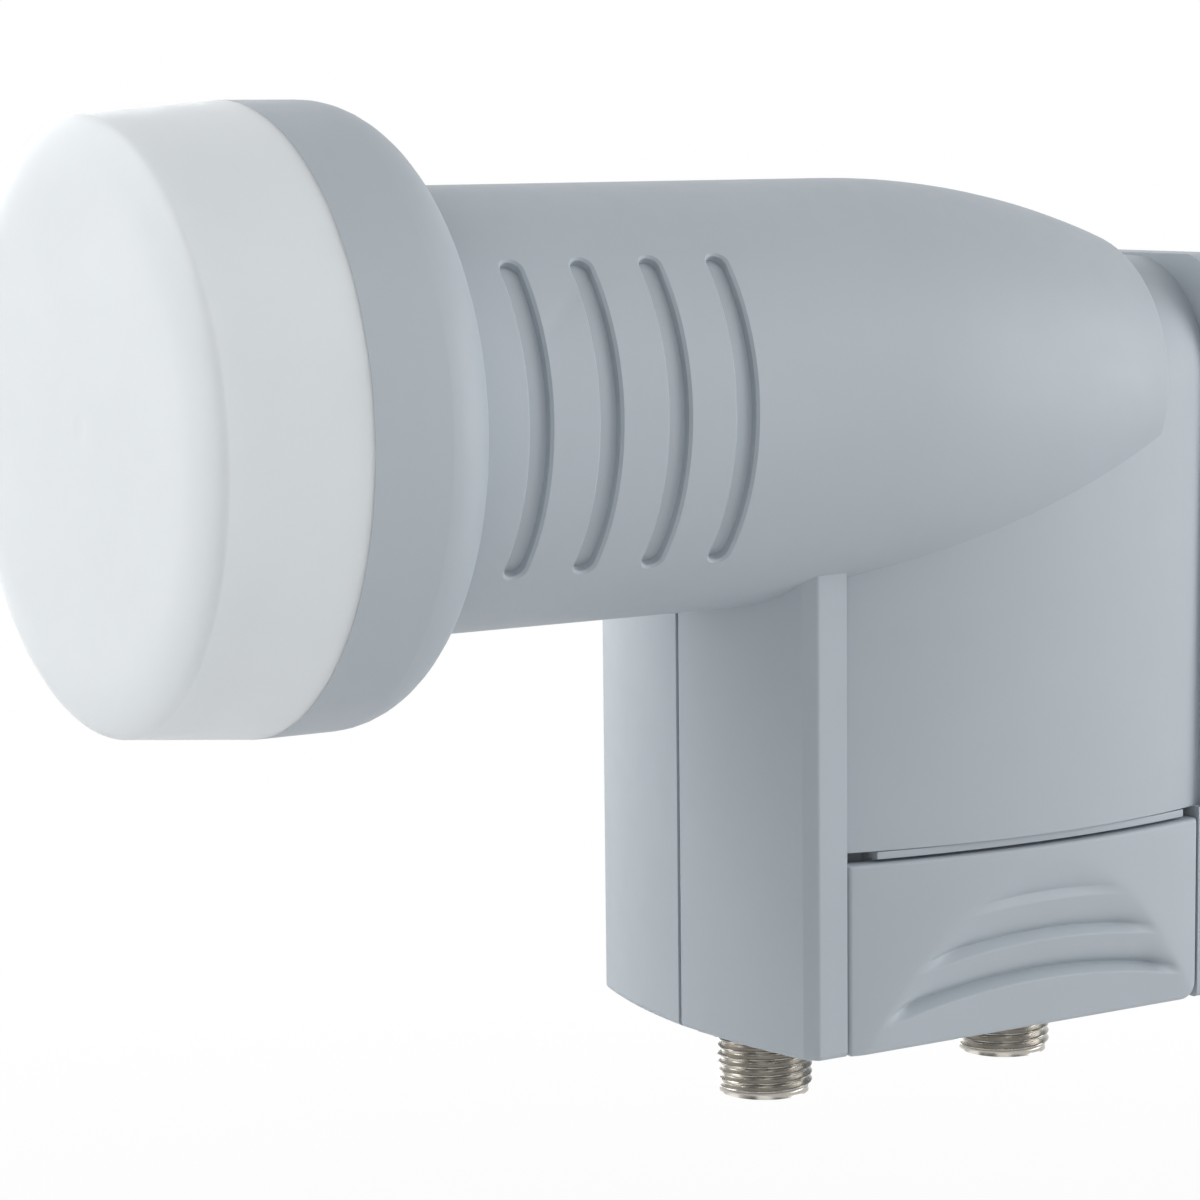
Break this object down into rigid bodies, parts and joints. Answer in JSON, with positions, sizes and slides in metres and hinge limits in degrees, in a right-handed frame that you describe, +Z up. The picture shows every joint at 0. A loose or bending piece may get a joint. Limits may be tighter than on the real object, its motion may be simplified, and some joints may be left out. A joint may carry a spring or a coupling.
{
  "type": "satellite lnb",
  "caption": "Satellite LNB with a white-capped feed, a grooved round neck, and a grey case below it with threaded sockets and sliding weather covers.",
  "frame": {"origin": "on the feed axis, in the middle of the grooved neck that the dish's clamp holds", "axes": "+Z up; the feed and its cap look along -Y; +X towards the side of the case that the picture shows"},
  "size_m": [0.0569, 0.1223, 0.0971],
  "materials": {
    "case_plastic": "fine matte grain",
    "cap_plastic": "smooth satin, slightly translucent",
    "nickel": "nickel plate",
    "cast_metal": "as cast",
    "sheet_metal": "rolled",
    "screw_steel": "zinc plate",
    "board": "solder mask",
    "chip": "moulded package",
    "absorber": "loaded foam",
    "contact_metal": "plain",
    "insulator": "plain",
    "rubber": "plain"
  },
  "bodies": {
    "case": {"main_shell": "case_plastic", "side_shell": "case_plastic", "front_cap": "cap_plastic", "f_connector_front": "nickel", "f_connector_rear": "nickel", "cap_seal": "rubber", "cast_body": "cast_metal", "shield_cover": "sheet_metal", "cover_screws": "screw_steel", "circuit_board": "board", "board_screws": "screw_steel", "switch_chip": "chip", "mixer_chip": "chip", "oscillator_crystal": "sheet_metal", "voltage_regulator": "chip", "absorber_pad": "absorber", "probe_vertical": "contact_metal", "probe_horizontal": "contact_metal", "bead_vertical": "insulator", "bead_horizontal": "insulator", "insulator_front": "insulator", "insulator_rear": "insulator", "contact_front": "contact_metal", "contact_rear": "contact_metal", "connector_seal_front": "rubber", "connector_seal_rear": "rubber"},
    "slide_right": {"weather_slide_right": "case_plastic"},
    "slide_left": {"weather_slide_left": "case_plastic"}
  },
  "joints": [
    {"name": "weather_slide_right_travel", "type": "slide", "parent": "case", "child": "slide_right", "axis": [0, 0, -1], "range_m": [0, 0.02]},
    {"name": "weather_slide_left_travel", "type": "slide", "parent": "case", "child": "slide_left", "axis": [0, 0, -1], "range_m": [0, 0.02]}
  ]
}
